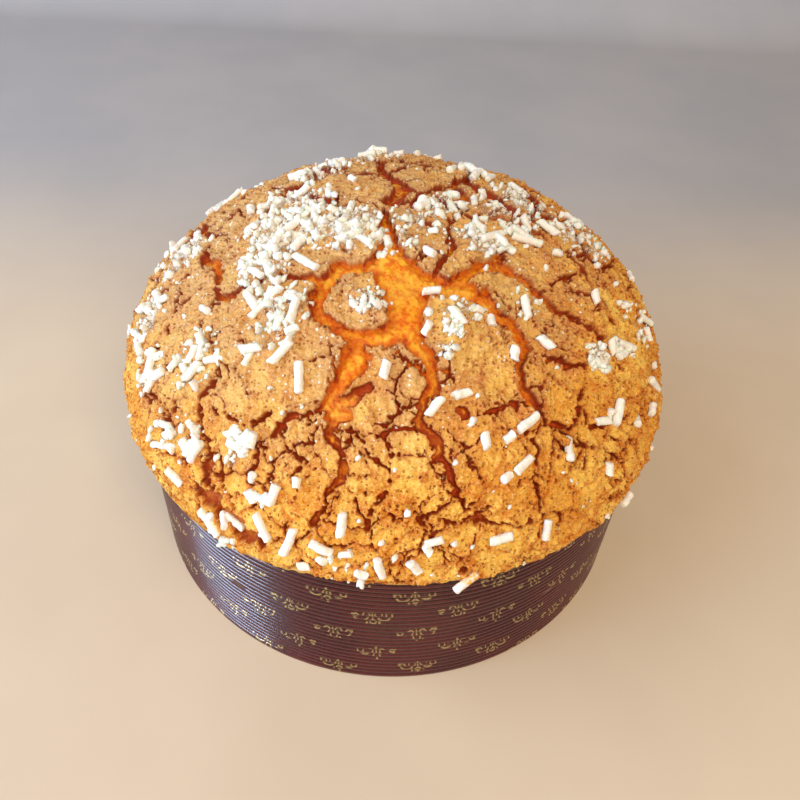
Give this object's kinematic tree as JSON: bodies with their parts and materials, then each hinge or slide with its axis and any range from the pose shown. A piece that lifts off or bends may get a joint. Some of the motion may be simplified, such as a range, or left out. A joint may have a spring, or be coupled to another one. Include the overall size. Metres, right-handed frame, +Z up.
{
  "type": "panettone",
  "caption": "Low, wide domed sweet loaf with a cracked almond glaze and pearl-sugar sticks, standing in its ribbed paper baking mould.",
  "frame": {"origin": "centre of the mould's underside, on the surface it stands on", "axes": "+Z up; -Y towards the front, +X to the right seen from the front"},
  "size_m": [0.2256, 0.2249, 0.1497],
  "materials": {
    "mould_paper": "ribbed, slightly glossy print on dark plum-brown paper with small gold ornaments",
    "disc_paper": "plain matt brown paper",
    "baked_glaze": "matt cracked glaze over moist golden crumb",
    "pearl_sugar": "matt white pressed sugar"
  },
  "bodies": {
    "root": {"mould_wall": "mould_paper", "mould_disc": "disc_paper", "loaf": "baked_glaze", "sugar_stick_01": "pearl_sugar", "sugar_stick_02": "pearl_sugar", "sugar_stick_03": "pearl_sugar", "sugar_stick_04": "pearl_sugar", "sugar_stick_05": "pearl_sugar", "sugar_stick_06": "pearl_sugar", "sugar_stick_07": "pearl_sugar", "sugar_stick_08": "pearl_sugar", "sugar_stick_09": "pearl_sugar", "sugar_stick_10": "pearl_sugar", "sugar_stick_11": "pearl_sugar", "sugar_stick_12": "pearl_sugar", "sugar_stick_13": "pearl_sugar", "sugar_stick_14": "pearl_sugar", "sugar_stick_15": "pearl_sugar", "sugar_stick_16": "pearl_sugar", "sugar_stick_17": "pearl_sugar", "sugar_stick_18": "pearl_sugar", "sugar_stick_19": "pearl_sugar", "sugar_stick_20": "pearl_sugar", "sugar_stick_21": "pearl_sugar", "sugar_stick_22": "pearl_sugar", "sugar_stick_23": "pearl_sugar", "sugar_stick_24": "pearl_sugar", "sugar_stick_25": "pearl_sugar", "sugar_stick_26": "pearl_sugar", "sugar_stick_27": "pearl_sugar", "sugar_stick_28": "pearl_sugar", "sugar_stick_29": "pearl_sugar", "sugar_stick_30": "pearl_sugar", "sugar_stick_31": "pearl_sugar", "sugar_stick_32": "pearl_sugar", "sugar_stick_33": "pearl_sugar", "sugar_stick_34": "pearl_sugar", "sugar_stick_35": "pearl_sugar", "sugar_stick_36": "pearl_sugar", "sugar_stick_37": "pearl_sugar", "sugar_stick_38": "pearl_sugar", "sugar_stick_39": "pearl_sugar", "sugar_stick_40": "pearl_sugar", "sugar_stick_41": "pearl_sugar", "sugar_stick_42": "pearl_sugar", "sugar_stick_43": "pearl_sugar", "sugar_stick_44": "pearl_sugar", "sugar_stick_45": "pearl_sugar", "sugar_stick_46": "pearl_sugar", "sugar_stick_47": "pearl_sugar", "sugar_stick_48": "pearl_sugar", "sugar_stick_49": "pearl_sugar", "sugar_stick_50": "pearl_sugar", "sugar_stick_51": "pearl_sugar", "sugar_stick_52": "pearl_sugar", "sugar_stick_53": "pearl_sugar", "sugar_stick_54": "pearl_sugar", "sugar_stick_55": "pearl_sugar", "sugar_stick_56": "pearl_sugar", "sugar_stick_57": "pearl_sugar"}
  },
  "joints": []
}
